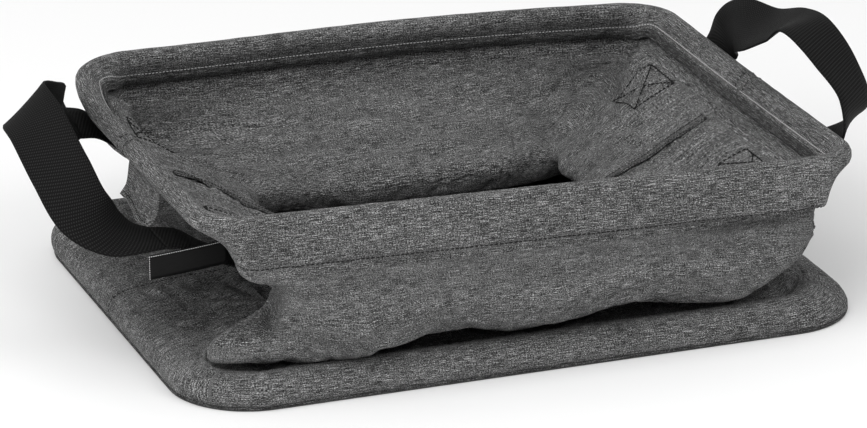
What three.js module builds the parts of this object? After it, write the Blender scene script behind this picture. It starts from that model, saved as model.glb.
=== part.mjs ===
// Collapsible laundry bag: a cloth tub between a stiff base and a wire-framed rim, with a webbing
// handle at each end. Millimetres, +Z up. The origin is the middle of the underside, +X runs along
// the long side and +Y runs towards the back. The bag stands half collapsed: its end walls and back
// wall are folded inwards between base and rim, and its front wall bulges out over the base.
import * as THREE from 'three';

// Driving dimensions
const BASE_LENGTH = 480;
const BASE_DEPTH = 364;
const BASE_CORNER = 55;
const RIM_LENGTH = 466;
const RIM_DEPTH = 356;
const RIM_CORNER = 38;
const RIM_TOP = 126;
const RIM_TILT = 0.0232;
const RIM_SHIFT = 2;
const BOW_MEAN = 3.6;
const BOW_WAVE = 2.3;
const BOW_MIDDLE = 45;
const BOW_SPAN = 260;
const DRAW_START = 57;
const DRAW_RATE = 0.0016;
const HEM_RADIUS = 7;
const HEM_OUTER_DROP = 36;
const HEM_INNER_DROP = 22;
const HEM_ROLL = 60;
const WIRE_RADIUS = 3;
const FERRULE_RADIUS = 4.2;
const FERRULE_LENGTH = 44;
const CLOTH = 1.6;
const BINDING = 1.4;
const GAP = 0.4;
const BOARD_THICKNESS = 4;
const COVER_THICKNESS = 1.2;
const PIPING_RADIUS = 1.6;
const WALL_CLEARANCE = 8;
const END_LEAN = 13;
const WEBBING_WIDTH = 40;
const WEBBING_THICKNESS = 1.8;
const STRAP_GAP = 3.5;
const NECK_INSET = 4.3;
const TAPE_WIDTH = 16;
const TAPE_THICKNESS = 1.2;
const TAPE_GAP = 1.3;
const LABEL_LENGTH = 54;
const LABEL_HEIGHT = 16.5;
const LABEL_THICKNESS = 0.8;

const bag = new THREE.Group();
const canvas = { color: 0x5d5e60, roughness: 0.95, metalness: 0 };
const lining = { color: 0x54565a, roughness: 0.95, metalness: 0 };
const webbing = { color: 0x1b1c1e, roughness: 0.75, metalness: 0 };
const steel = { color: 0xa9adb1, roughness: 0.35, metalness: 1 };
const hardboard = { color: 0x6b5138, roughness: 0.85, metalness: 0 };

function vec(x, y, z) {
  return new THREE.Vector3(x, y, z);
}

function add(name, geometry, finish) {
  const mesh = new THREE.Mesh(geometry, new THREE.MeshStandardMaterial(finish));
  mesh.name = name;
  bag.add(mesh);
  return mesh;
}

// Closed solid through a row of closed sections with the same number of points. The row is open
// with flat ends, or runs round into itself.
function loft(sections, isRing = false) {
  const size = sections[0].length;
  const positions = sections.flat().flatMap((p) => [p.x, p.y, p.z]);
  const faces = [];
  const rows = isRing ? sections.length : sections.length - 1;
  for (let i = 0; i < rows; i += 1) {
    const next = (i + 1) % sections.length;
    for (let j = 0; j < size; j += 1) {
      const k = (j + 1) % size;
      const corners = [i * size + j, i * size + k, next * size + k, next * size + j];
      faces.push(corners[0], corners[1], corners[2], corners[0], corners[2], corners[3]);
    }
  }
  if (!isRing) {
    const last = (sections.length - 1) * size;
    for (const [a, b, c] of endFaces(sections[0])) {
      faces.push(a, c, b);
    }
    for (const [a, b, c] of endFaces(sections[sections.length - 1])) {
      faces.push(last + a, last + b, last + c);
    }
  }
  const geometry = new THREE.BufferGeometry();
  geometry.setAttribute('position', new THREE.Float32BufferAttribute(positions, 3));
  geometry.setIndex(faces);
  if (volume(geometry) < 0) {
    geometry.index.array.reverse();
  }
  geometry.computeVertexNormals();
  return geometry;
}

// Triangles of one closed section, found in the plane that the section lies closest to.
function endFaces(section) {
  const normal = vec(0, 0, 0);
  section.forEach((p, i) => {
    const q = section[(i + 1) % section.length];
    normal.add(vec((p.y - q.y) * (p.z + q.z), (p.z - q.z) * (p.x + q.x), (p.x - q.x) * (p.y + q.y)));
  });
  normal.normalize();
  const across = section[1].clone().sub(section[0]).normalize();
  const up = normal.clone().cross(across);
  const flat = section.map((p) => new THREE.Vector2(p.dot(across), p.dot(up)));
  return THREE.ShapeUtils.triangulateShape(flat, []);
}

function volume(geometry) {
  const p = geometry.attributes.position;
  const index = geometry.index.array;
  const corner = (i) => new THREE.Vector3().fromBufferAttribute(p, index[i]);
  let total = 0;
  for (let i = 0; i < index.length; i += 3) {
    total += corner(i).dot(corner(i + 1).cross(corner(i + 2))) / 6;
  }
  return total;
}

// Points round a rectangle with round corners, as {x, y, nx, ny} with the outward normal. Half an
// outline runs from the middle of the left end, along the front or the back, to the right end.
function halfOutline(length, depth, corner, side, steps = { end: 3, arc: 9, long: 8 }) {
  const points = [];
  const endX = length / 2;
  const sideY = depth / 2;
  for (let i = 0; i < steps.end; i += 1) {
    points.push({ x: -endX, y: (side * (sideY - corner) * i) / steps.end, nx: -1, ny: 0 });
  }
  for (let i = 0; i <= steps.arc; i += 1) {
    const turn = (Math.PI / 2) * (i / steps.arc);
    const nx = -Math.cos(turn);
    const ny = side * Math.sin(turn);
    points.push({ x: -endX + corner + corner * nx, y: side * (sideY - corner) + corner * ny, nx, ny });
  }
  for (let i = 1; i < steps.long; i += 1) {
    const x = -endX + corner + ((length - 2 * corner) * i) / steps.long;
    points.push({ x, y: side * sideY, nx: 0, ny: side });
  }
  const mirrored = points.slice(0, steps.end + steps.arc + 1).reverse();
  points.push(...mirrored.map((p) => ({ x: -p.x, y: p.y, nx: -p.nx, ny: p.ny })));
  return points;
}

function wholeOutline(length, depth, corner, steps) {
  const front = halfOutline(length, depth, corner, -1, steps);
  const back = halfOutline(length, depth, corner, 1, steps).reverse();
  return [...front, ...back.slice(1, -1)];
}

// Flat plate with round corners, inset from the base's outline.
function plate(inset, bottom, thickness) {
  const outline = wholeOutline(BASE_LENGTH - 2 * inset, BASE_DEPTH - 2 * inset, BASE_CORNER - inset);
  const shape = new THREE.Shape(outline.map((p) => new THREE.Vector2(p.x, p.y)));
  const geometry = new THREE.ExtrudeGeometry(shape, { depth: thickness, bevelEnabled: false });
  return geometry.translate(0, 0, bottom);
}

// Section points given as [inset, height] placed at one point of an outline.
function place(point, section) {
  return section.map(([inset, height]) => {
    return vec(point.x - point.nx * inset, point.y - point.ny * inset, height);
  });
}

function circle(inset, height, radius, sides) {
  return Array.from({ length: sides }, (_, i) => {
    const turn = (2 * Math.PI * i) / sides;
    return [inset + radius * Math.cos(turn), height + radius * Math.sin(turn)];
  });
}

// Base: board between a bottom cover and a floor lining, with piping round the lower edge
function buildBase() {
  const coverInset = 2 * PIPING_RADIUS + GAP;
  add('base_bottom_cover', plate(coverInset, 0, COVER_THICKNESS), canvas);
  const boardBottom = COVER_THICKNESS + GAP;
  add('base_board', plate(WALL_CLEARANCE, boardBottom, BOARD_THICKNESS), hardboard);
  const liningBottom = boardBottom + BOARD_THICKNESS + GAP;
  add('base_floor_lining', plate(WALL_CLEARANCE, liningBottom, COVER_THICKNESS), lining);
  const section = circle(PIPING_RADIUS, PIPING_RADIUS, PIPING_RADIUS, 8);
  const outline = wholeOutline(BASE_LENGTH, BASE_DEPTH, BASE_CORNER);
  add('base_piping', loft(outline.map((p) => place(p, section)), true), webbing);
}

// The rim's back edge bows up, most of all right of its middle
function backBow(point) {
  const wave = BOW_WAVE * Math.cos((Math.PI * (point.x - BOW_MIDDLE)) / BOW_SPAN);
  return (BOW_MEAN + wave) * THREE.MathUtils.smoothstep(point.y, 0, RIM_DEPTH / 2);
}

// The rim's back left corner is drawn in towards the middle
function cornerDraw(point) {
  const past = Math.max(point.y - DRAW_START, 0);
  return DRAW_RATE * past * past * THREE.MathUtils.smoothstep(-point.x, RIM_LENGTH / 8, RIM_LENGTH / 2);
}

// Rim. A section across it is given as [inset, drop] from the rim's outer top edge. It stands
// upright on the long sides and is rolled inwards, about the wire, on the ends.
function rimSection(point, section) {
  const roll = THREE.MathUtils.degToRad(HEM_ROLL) * THREE.MathUtils.smoothstep(Math.abs(point.nx), 0, 1);
  const shift = RIM_SHIFT + cornerDraw(point);
  const top = RIM_TOP + backBow(point);
  return section.map(([inset, drop]) => {
    const across = inset - HEM_RADIUS;
    const up = drop + HEM_RADIUS;
    const turnedAcross = across * Math.cos(roll) - up * Math.sin(roll);
    const turnedUp = up * Math.cos(roll) + across * Math.sin(roll);
    const x = point.x - point.nx * (turnedAcross + HEM_RADIUS);
    const y = point.y - point.ny * (turnedAcross + HEM_RADIUS);
    return vec(x + shift, y, top - RIM_TILT * x + turnedUp - HEM_RADIUS);
  });
}

// The outline point nearest to a place in plan, on a rectangle with round corners
function nearestOnOutline(length, depth, corner, x, y) {
  const straightX = length / 2 - corner;
  const straightY = depth / 2 - corner;
  const centreX = THREE.MathUtils.clamp(x, -straightX, straightX);
  const centreY = THREE.MathUtils.clamp(y, -straightY, straightY);
  const away = new THREE.Vector2(x - centreX, y - centreY).normalize();
  return { x: centreX + corner * away.x, y: centreY + corner * away.y, nx: away.x, ny: away.y };
}

function rimPoint(x, y, inset, drop) {
  return rimSection(nearestOnOutline(RIM_LENGTH, RIM_DEPTH, RIM_CORNER, x, y), [[inset, drop]])[0];
}

function basePoint(x, y, inset, height) {
  return place(nearestOnOutline(BASE_LENGTH, BASE_DEPTH, BASE_CORNER, x, y), [[inset, height]])[0];
}

function halfRim(side) {
  const outline = halfOutline(RIM_LENGTH, RIM_DEPTH, RIM_CORNER, side);
  outline[0].y = (side * GAP) / 2;
  outline[outline.length - 1].y = (side * GAP) / 2;
  return outline;
}

function arc(radius, from, to, steps) {
  return Array.from({ length: steps + 1 }, (_, i) => {
    const turn = THREE.MathUtils.degToRad(from + ((to - from) * i) / steps);
    return [HEM_RADIUS + radius * Math.cos(turn), -HEM_RADIUS + radius * Math.sin(turn)];
  });
}

function buildRim() {
  const inner = HEM_RADIUS - CLOTH;
  const hem = [
    [0, -HEM_OUTER_DROP], ...arc(HEM_RADIUS, 180, -10, 6), [9.4, -HEM_INNER_DROP],
    [7.8, -HEM_INNER_DROP], ...arc(inner, -10, 180, 6), [CLOTH, -HEM_OUTER_DROP],
  ];
  const wallInside = NECK_INSET + CLOTH + 2.4;
  const tape = [
    [14.4, -12], [12.2, -20], [wallInside, -HEM_INNER_DROP - 2], [wallInside, -28],
    [wallInside + BINDING, -28], [wallInside + BINDING, -HEM_INNER_DROP - 3],
    [12.2 + BINDING, -21], [15.8, -12],
  ];
  const wire = circle(HEM_RADIUS, -HEM_RADIUS, WIRE_RADIUS, 8);
  const halves = [['front', -1], ['back', 1]];
  for (const [name, side] of halves) {
    const outline = halfRim(side);
    add(`rim_hem_${name}`, loft(outline.map((p) => rimSection(p, hem))), canvas);
    add(`hem_binding_${name}`, loft(outline.map((p) => rimSection(p, tape))), webbing);
    add(`rim_wire_${name}`, loft(outline.map((p) => rimSection(p, wire))), steel);
  }
  const outside = circle(HEM_RADIUS, -HEM_RADIUS, FERRULE_RADIUS, 8);
  const bore = circle(HEM_RADIUS, -HEM_RADIUS, WIRE_RADIUS + GAP, 8);
  const ends = [['left', -1], ['right', 1]];
  for (const [name, end] of ends) {
    const places = [-1, 1].map((t) => {
      return { x: (end * RIM_LENGTH) / 2, y: (t * FERRULE_LENGTH) / 2, nx: end, ny: 0 };
    });
    const [front, back] = places;
    const rings = [
      rimSection(front, outside), rimSection(back, outside), rimSection(back, bore), rimSection(front, bore),
    ];
    add(`wire_ferrule_${name}`, loft(rings, true), steel);
  }
}

// Wall cloth. Each station is one line up the wall. It holds a place on the base's outline, then
// the points panel, tuck, lip, belly, fold and shoulder, and last a place on the rim's outline.
// On the ends and the back the cloth runs inwards over the base, turns back at the fold and rises
// outwards. On the front it tucks in under the bulge, comes out at the lip and swells past the belly.
const LOWER_LEVELS = [0, 5];
const UPPER_LEVELS = [5, 9];
const LAST_LEVEL = 9;
const SPLIT_GAP = 0.06;
const SEAM_GAP = 0.003;

function endStation(end, y, sag) {
  const x = (inset) => end * (BASE_LENGTH / 2 - inset);
  return [
    vec(x(0), y, 0), vec(x(35), y * 0.98, 26), vec(x(65), y * 0.97, 28), vec(x(90), y * 0.95, 30),
    vec(x(112), y * 0.92, 34), vec(x(127), y * 0.9, 46), vec(x(88), y * 0.94, 77 - sag), vec(x(6), y, 0),
  ];
}

function longStation(x, lipHeight, bulge, hemX) {
  const face = -BASE_DEPTH / 2;
  return [
    vec(x, face, 0), vec(x, face + 40, 14), vec(x, face + 72, 14), vec(x, face + 14, lipHeight),
    vec(x, face - bulge + 5, lipHeight + 13), vec(x, face - bulge, lipHeight + 30),
    vec((x + hemX) / 2, face - bulge + 5, 78), vec(hemX, face, 0),
  ];
}

function foldedStation(x, hemX) {
  const face = -BASE_DEPTH / 2;
  return [
    vec(x, face, 0), vec(x, face + 34, 26), vec(x, face + 64, 28), vec(x, face + 90, 31),
    vec(x, face + 106, 36), vec(x, face + 112, 48), vec((x + hemX) / 2, face + 47, 79), vec(hemX, face, 0),
  ];
}

// Where two folded walls meet, the cloth's folds run together in two stations round the corner
function foldedCornerStation(end) {
  return [
    vec(end * 226, -167, 0), vec(end * 200, -140, 27), vec(end * 172, -116, 29), vec(end * 146, -96, 32),
    vec(end * 124, -82, 37), vec(end * 111, -75, 48), vec(end * 184, -136, 72), vec(end * 232, -165, 0),
  ];
}

function foldedSideStation(end) {
  return [
    vec(end * 186, -182, 0), vec(end * 176, -150, 26), vec(end * 154, -122, 28), vec(end * 130, -98, 31),
    vec(end * 112, -82, 36), vec(end * 100, -75, 48), vec(end * 189, -167, 71), vec(end * 200, -182, 0),
  ];
}

function backwards(station) {
  return station.map((p) => vec(p.x, -p.y, p.z));
}

const FRONT_STATIONS = [
  endStation(-1, 0, 0),
  endStation(-1, -95, 0),
  [
    vec(-225, -167, 0), vec(-219, -157, 25), vec(-217, -152, 27), vec(-220, -159, 35), vec(-218, -155, 40),
    vec(-165, -108, 49), vec(-172, -132, 74), vec(-232, -165, 0),
  ],
  [
    vec(-204, -179, 0), vec(-198, -152, 19), vec(-194, -138, 21), vec(-198, -168, 33), vec(-200, -166, 42),
    vec(-168, -122, 50), vec(-176, -158, 75), vec(-207, -182, 0),
  ],
  [
    vec(-186, -182, 0), vec(-182, -150, 15), vec(-176, -126, 16), vec(-184, -170, 32), vec(-186, -168, 43),
    vec(-171, -134, 47), vec(-176, -166, 75), vec(-196, -182, 0),
  ],
  [
    vec(-168, -182, 0), vec(-165, -142, 14), vec(-162, -115, 14), vec(-164, -172, 31), vec(-168, -178, 46),
    vec(-171, -180, 60), vec(-174, -179, 76), vec(-182, -182, 0),
  ],
  longStation(-128, 24, 7, -140),
  longStation(-70, 33, 8, -75),
  longStation(0, 30, 8, 0),
  longStation(85, 36, 7, 85),
  [
    vec(150, -182, 0), vec(150, -142, 14), vec(150, -110, 14), vec(150, -168, 30), vec(150, -181, 43),
    vec(150, -186, 58), vec(154, -174, 76), vec(158, -182, 0),
  ],
  [
    vec(190, -182, 0), vec(184, -148, 17), vec(178, -128, 20), vec(172, -160, 37), vec(182, -172, 48),
    vec(190, -176, 60), vec(198, -175, 71), vec(202, -182, 0),
  ],
  [
    vec(226, -167, 0), vec(200, -142, 26), vec(184, -128, 29), vec(164, -116, 34), vec(152, -108, 39),
    vec(146, -104, 52), vec(180, -134, 72), vec(232, -165, 0),
  ],
  endStation(1, -95, 7),
  endStation(1, 0, 7),
];

const BACK_STATIONS = [
  endStation(-1, 0, 0),
  endStation(-1, -70, 0),
  foldedCornerStation(-1),
  foldedSideStation(-1),
  foldedStation(-65, -70),
  foldedStation(0, 0),
  foldedStation(65, 70),
  foldedSideStation(1),
  foldedCornerStation(1),
  endStation(1, -70, 7),
  endStation(1, 0, 7),
].map(backwards);

// One line up the wall at a running number along the stations: foot and crease over the base's
// outline, six free points, then the neck and the sewn top inside the hem. The crease leans inwards
// at the right end.
function wallLine(stations, along) {
  const points = stations[0].map((_, k) => curvePoint(stations.map((station) => station[k]), along));
  const foot = points.shift();
  const hem = points.pop();
  const lean = END_LEAN * THREE.MathUtils.smoothstep(foot.x, 150, BASE_LENGTH / 2);
  return [
    basePoint(foot.x, foot.y, 0, 4 + 0.08 * lean), basePoint(foot.x, foot.y, 4 + lean, 21), ...points,
    rimPoint(hem.x, hem.y, NECK_INSET, -HEM_OUTER_DROP - 3),
    rimPoint(hem.x, hem.y, NECK_INSET, -HEM_INNER_DROP + 2),
  ];
}

function wallPoint(stations, along, level) {
  return curvePoint(wallLine(stations, along), level);
}

function curvePoint(points, place) {
  const i = Math.min(Math.floor(place), points.length - 2);
  const t = place - i;
  const before = points[Math.max(i - 1, 0)];
  const after = points[Math.min(i + 2, points.length - 1)];
  const slopeIn = points[i + 1].clone().sub(before).multiplyScalar(0.4);
  const slopeOut = after.clone().sub(points[i]).multiplyScalar(0.4);
  const t2 = t * t;
  const t3 = t2 * t;
  return points[i].clone().multiplyScalar(2 * t3 - 3 * t2 + 1)
    .addScaledVector(slopeIn, t3 - 2 * t2 + t)
    .addScaledVector(points[i + 1], 3 * t2 - 2 * t3)
    .addScaledVector(slopeOut, t3 - t2);
}

function wallNormal(stations, along, level, side) {
  const step = 0.04;
  const last = stations.length - 1;
  const a = wallPoint(stations, Math.max(along - step, 0), level);
  const b = wallPoint(stations, Math.min(along + step, last), level);
  const c = wallPoint(stations, along, Math.max(level - step, 0));
  const d = wallPoint(stations, along, Math.min(level + step, LAST_LEVEL));
  return b.sub(a).cross(d.sub(c)).normalize().multiplyScalar(side);
}

// Places along the stations, closer together round the two corners
function placesAlong(stations) {
  const count = stations.length - 1;
  const corners = [1, 2, 3, count - 3, count - 2];
  const places = [SEAM_GAP];
  for (let i = 0; i < count; i += 1) {
    const steps = corners.includes(i) ? 8 : 2;
    for (let j = 1; j <= steps; j += 1) {
      places.push(i + j / steps);
    }
  }
  places[places.length - 1] -= SEAM_GAP;
  return places;
}

// Cloth of the wall between two levels, with its thickness on the inside
function wallCloth(stations, side, levels, steps) {
  const sections = placesAlong(stations).map((along) => {
    const outside = [];
    const inside = [];
    for (let j = 0; j <= steps; j += 1) {
      const level = levels[0] + ((levels[1] - levels[0]) * j) / steps;
      const point = wallPoint(stations, along, level);
      outside.push(point);
      inside.push(point.clone().addScaledVector(wallNormal(stations, along, level, side), CLOTH));
    }
    return [...outside, ...inside.reverse()];
  });
  return loft(sections);
}

function buildWalls() {
  const lower = [LOWER_LEVELS[0], LOWER_LEVELS[1] - SPLIT_GAP];
  const upper = [UPPER_LEVELS[0] + SPLIT_GAP, UPPER_LEVELS[1]];
  const halves = [['front', FRONT_STATIONS, -1], ['back', BACK_STATIONS, 1]];
  for (const [name, stations, side] of halves) {
    add(`${name}_wall_lower`, wallCloth(stations, side, lower, 9), canvas);
    add(`${name}_wall_upper`, wallCloth(stations, side, upper, 8), canvas);
  }
}

// Tape over the seam up the middle of an end wall, on the wall's inside
function seamTape(stations, end, levels) {
  const along = end < 0 ? 0 : stations.length - 1;
  const outside = [];
  const inside = [];
  const steps = 12;
  for (let j = 0; j <= steps; j += 1) {
    const level = levels[0] + ((levels[1] - levels[0]) * j) / steps;
    const point = wallPoint(stations, along, level);
    const normal = wallNormal(stations, along, level, -1).setY(0).normalize();
    outside.push(point.clone().addScaledVector(normal, CLOTH + TAPE_GAP));
    inside.push(point.clone().addScaledVector(normal, CLOTH + TAPE_GAP + TAPE_THICKNESS));
  }
  const section = [...outside, ...inside.reverse()];
  return loft([-1, 1].map((t) => section.map((p) => vec(p.x, (t * TAPE_WIDTH) / 2, p.z))));
}

function buildSeamTapes() {
  const ends = [['left', -1], ['right', 1]];
  for (const [name, end] of ends) {
    add(`${name}_seam_tape_lower`, seamTape(FRONT_STATIONS, end, [1.4, 4.8]), lining);
    add(`${name}_seam_tape_upper`, seamTape(FRONT_STATIONS, end, [5.2, 7.8]), lining);
  }
}

// Handles. A ribbon follows stations of centre and width direction; its ends are square.
function ribbon(stations, width, thickness, steps) {
  const centres = stations.map((s) => s[0]);
  const widths = stations.map((s) => s[1]);
  const sections = [];
  const count = (stations.length - 1) * steps;
  for (let i = 0; i <= count; i += 1) {
    const place = Math.min(i / steps, stations.length - 1);
    const centre = curvePoint(centres, place);
    const ahead = curvePoint(centres, Math.min(place + 0.02, stations.length - 1));
    const behind = curvePoint(centres, Math.max(place - 0.02, 0));
    const along = ahead.sub(behind).normalize();
    const across = curvePoint(widths, place).normalize();
    const normal = along.clone().cross(across).normalize();
    const half = across.clone().multiplyScalar(width / 2);
    const lift = normal.clone().multiplyScalar(thickness / 2);
    sections.push([
      centre.clone().add(half).add(lift), centre.clone().add(half).sub(lift),
      centre.clone().sub(half).sub(lift), centre.clone().sub(half).add(lift),
    ]);
  }
  return loft(sections);
}

const LEFT_HANDLE = [
  [vec(-233, -86, 91), vec(0, 1, 0)],
  [vec(-246, -86, 93), vec(0.07, 0.98, 0.17)],
  [vec(-261, -85, 97), vec(0.4, 0.8, 0.45)],
  [vec(-279, -80, 111), vec(0.84, 0.24, 0.49)],
  [vec(-290, -61, 136), vec(0.87, -0.15, 0.47)],
  [vec(-296, -30, 158), vec(0.84, -0.13, 0.52)],
  [vec(-295, 4, 161), vec(0.71, -0.07, 0.7)],
  [vec(-274, 34, 147), vec(0.6, 0.1, 0.79)],
  [vec(-256, 62, 132), vec(0.42, 0.35, 0.84)],
  [vec(-245, 84, 118), vec(0.12, 0.74, 0.66)],
  [vec(-236, 93, 112), vec(0, 0.97, 0.24)],
];

const RIGHT_HANDLE = [
  [vec(236, 93, 100), vec(0, 1, 0)],
  [vec(245, 92, 110), vec(0, 0.95, 0.25)],
  [vec(247, 84, 122), vec(-0.05, 0.75, 0.65)],
  [vec(243, 56, 138), vec(0.32, 0.42, 0.85)],
  [vec(242, 17, 147), vec(0.74, 0.26, 0.61)],
  [vec(243, -22, 162), vec(0.87, 0.19, 0.45)],
  [vec(243, -54, 171), vec(0.99, 0.14, 0.05)],
  [vec(252, -84, 153), vec(0.93, 0.36, -0.07)],
  [vec(258, -103, 129), vec(0.8, 0.55, -0.26)],
  [vec(252, -102, 113), vec(0.45, 0.88, -0.1)],
  [vec(240, -93, 100), vec(0, 1, 0)],
];

// The webbing's sewn end lies along the outside of an end wall, under the hem, and comes out in
// line with the start of the loop
function strapAnchor(end, loopStart, loopAcross) {
  const place = (x, z) => vec(end * x, loopStart.y, z);
  return [
    [place(178, 68), vec(0, 1, 0)],
    [place(198, 77), vec(0, 1, 0)],
    [place(216, 88), vec(0, 1, 0)],
    [vec(loopStart.x - end * STRAP_GAP, loopStart.y, loopStart.z), loopAcross],
  ];
}

function buildHandles() {
  const handles = [['left', -1, LEFT_HANDLE], ['right', 1, RIGHT_HANDLE]];
  for (const [name, end, stations] of handles) {
    add(`${name}_handle`, ribbon(stations, WEBBING_WIDTH, WEBBING_THICKNESS, 6), webbing);
    for (const [start, across] of [stations[0], stations[stations.length - 1]]) {
      const place = start.y < 0 ? 'front' : 'back';
      const anchor = strapAnchor(end, start, across);
      add(`${name}_strap_end_${place}`, ribbon(anchor, WEBBING_WIDTH, WEBBING_THICKNESS, 3), webbing);
    }
  }
}

// Woven label, sewn along the front edge of the left handle's front strap end
function buildLabel() {
  const geometry = new THREE.BoxGeometry(LABEL_LENGTH, LABEL_THICKNESS, LABEL_HEIGHT);
  const label = add('side_label', geometry, webbing);
  label.position.set(-219, -106.9, 81.5);
  label.rotation.y = -0.085;
}

buildBase();
buildWalls();
buildRim();
buildSeamTapes();
buildHandles();
buildLabel();

export default bag;
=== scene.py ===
import math

import bpy
import numpy as np
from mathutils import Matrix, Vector, noise


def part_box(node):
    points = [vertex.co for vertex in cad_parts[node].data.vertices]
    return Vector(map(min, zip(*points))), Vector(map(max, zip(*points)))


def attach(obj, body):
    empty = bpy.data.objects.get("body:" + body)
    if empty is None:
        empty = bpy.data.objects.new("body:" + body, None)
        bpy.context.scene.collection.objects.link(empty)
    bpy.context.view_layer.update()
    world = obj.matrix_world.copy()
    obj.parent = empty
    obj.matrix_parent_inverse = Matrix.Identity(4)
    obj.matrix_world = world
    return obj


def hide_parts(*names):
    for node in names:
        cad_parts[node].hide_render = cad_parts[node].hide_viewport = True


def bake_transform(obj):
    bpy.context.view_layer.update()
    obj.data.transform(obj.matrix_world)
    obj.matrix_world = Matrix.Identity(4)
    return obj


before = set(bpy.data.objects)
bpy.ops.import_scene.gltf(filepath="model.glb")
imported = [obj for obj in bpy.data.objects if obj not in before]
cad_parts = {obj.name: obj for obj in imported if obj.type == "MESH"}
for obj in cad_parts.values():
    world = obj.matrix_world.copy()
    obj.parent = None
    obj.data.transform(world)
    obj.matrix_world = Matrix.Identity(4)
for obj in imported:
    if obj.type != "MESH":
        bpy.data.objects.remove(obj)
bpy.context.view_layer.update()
scene = bpy.context.scene
MM = 0.001

# Driving dimensions, as the CAD has them
BASE_LENGTH, BASE_DEPTH, BASE_CORNER = 480.0, 364.0, 55.0
RIM_LENGTH, RIM_DEPTH, RIM_CORNER = 466.0, 356.0, 38.0
RIM_TOP, RIM_TILT, RIM_SHIFT = 126.0, 0.0232, 2.0
BOW_MEAN, BOW_WAVE, BOW_MIDDLE, BOW_SPAN = 3.6, 2.3, 45.0, 260.0
DRAW_START, DRAW_RATE = 57.0, 0.0016
END_LEAN = 13.0
CREASE_HEIGHT = 21.0
HEM_RADIUS = 7.0
HEM_DROP = 36.0
HEM_ROLL = math.radians(60)
CLOTH = 1.3
WEBBING_WIDTH, WEBBING_THICKNESS = 40.0, 1.8
PIPING_RADIUS = 1.6
TAPE_THICKNESS = 1.1


# ---------------------------------------------------------------- curves and outlines

def smoothstep(t):
    t = np.clip(t, 0, 1)
    return t * t * (3 - 2 * t)


def unit(v):
    return v / np.maximum(np.linalg.norm(v, axis=-1, keepdims=True), 1e-9)


def travel(points):
    """Distance travelled along a line up to each of its points."""
    return np.concatenate([[0], np.cumsum(np.linalg.norm(np.diff(points, axis=0), axis=1))])


def through(points, steps):
    """Smooth curve through points (n, ..., 3), with steps[i] pieces between points i and i + 1."""
    points = np.asarray(points, float)
    gaps = np.maximum(np.linalg.norm(np.diff(points, axis=0), axis=-1, keepdims=True), 0.5) ** 0.75
    slopes = np.diff(points, axis=0) / gaps
    tangents = np.empty_like(points)
    tangents[0], tangents[-1] = slopes[0], slopes[-1]
    before, after = gaps[:-1], gaps[1:]
    tangents[1:-1] = (slopes[:-1] * after + slopes[1:] * before) / (before + after)
    rows = []
    for i, count in enumerate(steps):
        for j in range(count):
            t = j / count
            rows.append(
                points[i] * (2 * t**3 - 3 * t**2 + 1)
                + tangents[i] * gaps[i] * (t**3 - 2 * t**2 + t)
                + points[i + 1] * (3 * t**2 - 2 * t**3)
                + tangents[i + 1] * gaps[i] * (t**3 - t**2)
            )
    rows.append(points[-1])
    return np.array(rows)


def outline_place(length, depth, corner, xy):
    """Nearest points on a rectangle with round corners, and their outward normals."""
    straight = np.array([length / 2 - corner, depth / 2 - corner])
    centre = np.clip(xy, -straight, straight)
    normal = unit(xy - centre)
    return centre + corner * normal, normal


def base_point(xy, inset, height):
    """A point of the base's side, which leans inwards at the right end."""
    place, normal = outline_place(BASE_LENGTH, BASE_DEPTH, BASE_CORNER, xy)
    rise = np.clip((height - 4) / (CREASE_HEIGHT - 4), 0, 1.1)
    lean = END_LEAN * smoothstep((xy[:, 0] - 150) / 90) * rise
    flat = place - normal * (inset + lean)[:, None]
    return np.concatenate([flat, np.full((len(flat), 1), float(height))], axis=1)


def rim_point(xy, inset, drop, end_roll=HEM_ROLL):
    """A point of the hem's section, given as inset and drop from the rim's outer top edge.

    The section stands upright on the long sides and is rolled inwards on the ends."""
    place, normal = outline_place(RIM_LENGTH, RIM_DEPTH, RIM_CORNER, xy)
    x, y = place[:, 0], place[:, 1]
    roll = end_roll * smoothstep(np.abs(normal[:, 0]))
    across, up = inset - HEM_RADIUS, drop + HEM_RADIUS
    turned_across = across * np.cos(roll) - up * np.sin(roll)
    turned_up = up * np.cos(roll) + across * np.sin(roll)
    flat = place - normal * (turned_across + HEM_RADIUS)[:, None]
    wave = BOW_WAVE * np.cos(math.pi * (x - BOW_MIDDLE) / BOW_SPAN)
    bow = (BOW_MEAN + wave) * smoothstep(y / (RIM_DEPTH / 2))
    draw = DRAW_RATE * np.maximum(y - DRAW_START, 0) ** 2
    draw = draw * smoothstep((-x - RIM_LENGTH / 8) / (RIM_LENGTH * 3 / 8))
    height = RIM_TOP + bow - RIM_TILT * flat[:, 0] + turned_up - HEM_RADIUS
    return np.column_stack([flat[:, 0] + RIM_SHIFT + draw, flat[:, 1], height])


# ---------------------------------------------------------------- meshes

def make_mesh(name, points, faces, smooth=True):
    """A new object from points in millimetres."""
    mesh = bpy.data.meshes.new(name)
    mesh.from_pydata([tuple(p) for p in np.asarray(points) * MM], [], faces)
    mesh.update()
    if smooth:
        mesh.polygons.foreach_set("use_smooth", [True] * len(mesh.polygons))
    obj = bpy.data.objects.new(name, mesh)
    scene.collection.objects.link(obj)
    return obj


def add_weave(obj, coordinates):
    """Stores cloth coordinates in millimetres, which the fabric materials read."""
    attribute = obj.data.attributes.new("weave", "FLOAT_VECTOR", "POINT")
    attribute.data.foreach_set("vector", np.asarray(coordinates, np.float32).ravel())


def grid_faces(rows, columns, ring=False):
    faces = []
    for i in range(rows - 1):
        for j in range(columns if ring else columns - 1):
            k = (j + 1) % columns
            low, high = i * columns, (i + 1) * columns
            faces.append((low + j, low + k, high + k, high + j))
    return faces


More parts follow.
